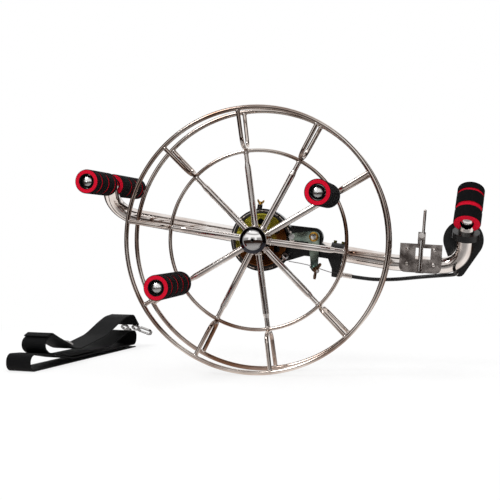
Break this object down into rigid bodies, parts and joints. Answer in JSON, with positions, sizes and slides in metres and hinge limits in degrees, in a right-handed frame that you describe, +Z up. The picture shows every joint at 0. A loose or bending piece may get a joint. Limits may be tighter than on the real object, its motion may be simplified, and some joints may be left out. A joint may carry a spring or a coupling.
{
  "type": "kite line winder",
  "caption": "Hand-cranked wire reel for kite line on a tubular belly frame, with roller line guide, lever-worked band brake, cable and folded belly strap.",
  "frame": {"origin": "middle of the reel on its axle, midway between the two rim rings", "axes": "+Y along the axle away from the flyer, +X towards the brake hand, +Z up"},
  "size_m": [0.639, 0.4347, 0.3558],
  "materials": {
    "polished_steel": "polished stainless wire and tube",
    "chrome_trim": "bright chrome",
    "zinc_drum": "yellow zinc plate",
    "zinc_arm": "clear zinc plate with a green cast",
    "dark_steel": "satin black paint",
    "brass": "plain",
    "bronze": "dark, tarnished",
    "foam": "closed-cell foam, crimson with a black skin",
    "black_plastic": "matt",
    "housing": "satin cable sheath",
    "lining": "brake lining",
    "webbing": "woven nylon",
    "inner_wire": "stranded wire"
  },
  "bodies": {
    "frame": {"frame_tube": "polished_steel", "belly_bar": "polished_steel", "belly_grip_near": "foam", "belly_grip_far": "foam", "belly_bar_caps": "chrome_trim", "front_bar": "polished_steel", "front_grip": "foam", "front_bar_caps": "chrome_trim", "axle": "polished_steel", "axle_nuts": "polished_steel", "brake_plate": "dark_steel", "brake_band": "polished_steel", "band_lining": "lining", "band_anchor_bolt": "chrome_trim", "arm_pivot_bolt": "brass", "torque_clamp": "dark_steel", "clamp_screws": "zinc_drum", "cable_stop": "black_plastic", "cable_ferrule": "polished_steel", "lever_ferrule": "chrome_trim", "cable_housing": "housing", "cable_wire": "inner_wire", "guide_bracket": "polished_steel", "guide_rivets": "polished_steel", "guide_pins": "polished_steel", "lever_perch": "black_plastic", "lever_pin": "polished_steel", "strap_webbing": "webbing", "strap_buckle": "chrome_trim", "snap_hook_a": "chrome_trim", "snap_hook_b": "chrome_trim"},
    "reel": {"rim_ring_front": "polished_steel", "rim_ring_rear": "polished_steel", "core_ring": "polished_steel", "spokes": "polished_steel", "rim_forks": "polished_steel", "hub_shell": "polished_steel", "hub_cap": "chrome_trim", "hub_bearings": "polished_steel", "brake_drum": "zinc_drum", "drum_bolts": "polished_steel", "crank_pins": "polished_steel"},
    "crank_a": {"crank_sleeve_a": "polished_steel", "crank_grip_a": "foam", "crank_cap_a": "chrome_trim"},
    "crank_b": {"crank_sleeve_b": "polished_steel", "crank_grip_b": "foam", "crank_cap_b": "chrome_trim"},
    "arm": {"brake_arm": "zinc_arm", "band_pin": "chrome_trim", "cable_clamp_bolt": "chrome_trim"},
    "cable_wing": {"wing_nut": "bronze"},
    "lever": {"brake_lever": "black_plastic"},
    "roller": {"guide_roller": "chrome_trim"},
    "finger": {"guide_finger": "polished_steel"},
    "drag": {"drag_screw": "brass"},
    "gate_a": {"snap_gate_a": "chrome_trim"},
    "gate_b": {"snap_gate_b": "chrome_trim"}
  },
  "joints": [
    {"name": "reel_spin", "type": "hinge", "parent": "frame", "child": "reel", "pos_m": [0, 0, 0], "axis": [0, 1, 0], "continuous": true},
    {"name": "crank_a_spin", "type": "hinge", "parent": "reel", "child": "crank_a", "pos_m": [0.09873, 0, 0.057], "axis": [0, 1, 0], "continuous": true},
    {"name": "crank_b_spin", "type": "hinge", "parent": "reel", "child": "crank_b", "pos_m": [-0.09873, 0, -0.057], "axis": [0, 1, 0], "continuous": true},
    {"name": "brake_lever_pull", "type": "hinge", "parent": "frame", "child": "lever", "pos_m": [0.2747, 0.0835, 0.009], "axis": [1, 0, 0], "range_deg": [0, 18], "stiffness_Nm_per_rad": 0.6, "springref_deg": -11.46},
    {"name": "brake_arm_swing", "type": "hinge", "parent": "frame", "child": "arm", "pos_m": [0.07169, 0.04, 0.00401], "axis": [0, -1, 0], "range_deg": [0, 5.4]},
    {"name": "wing_nut_turn", "type": "hinge", "parent": "arm", "child": "cable_wing", "pos_m": [0.07214, 0.04, -0.03892], "axis": [0.4095, -0.8664, -0.2857], "range_deg": [0, 360]},
    {"name": "drag_screw_turn", "type": "hinge", "parent": "frame", "child": "drag", "pos_m": [-0.00299, 0.042, 0.04927], "axis": [0.1736, 0, 0.9848], "range_deg": [0, 360]},
    {"name": "guide_roller_spin", "type": "hinge", "parent": "frame", "child": "roller", "pos_m": [0.2145, 0.04, -0.0255], "axis": [0.0628, 0, 0.998], "continuous": true},
    {"name": "guide_finger_fold", "type": "hinge", "parent": "frame", "child": "finger", "pos_m": [0.21645, 0.04, 0.00544], "axis": [0, 1, 0], "range_deg": [0, 75]},
    {"name": "snap_gate_a_open", "type": "hinge", "parent": "frame", "child": "gate_a", "pos_m": [-0.24942, 0.27778, -0.15463], "axis": [-0.1131, -0.698, -0.7071], "range_deg": [0, 25], "stiffness_Nm_per_rad": 0.02, "springref_deg": -17.19},
    {"name": "snap_gate_b_open", "type": "hinge", "parent": "frame", "child": "gate_b", "pos_m": [-0.27841, 0.28395, -0.15609], "axis": [-0.1131, -0.698, -0.7071], "range_deg": [0, 25], "stiffness_Nm_per_rad": 0.02, "springref_deg": -17.19}
  ],
  "couplings": [
    {"joint": "brake_arm_swing", "follows": "brake_lever_pull", "ratio": 0.3}
  ]
}
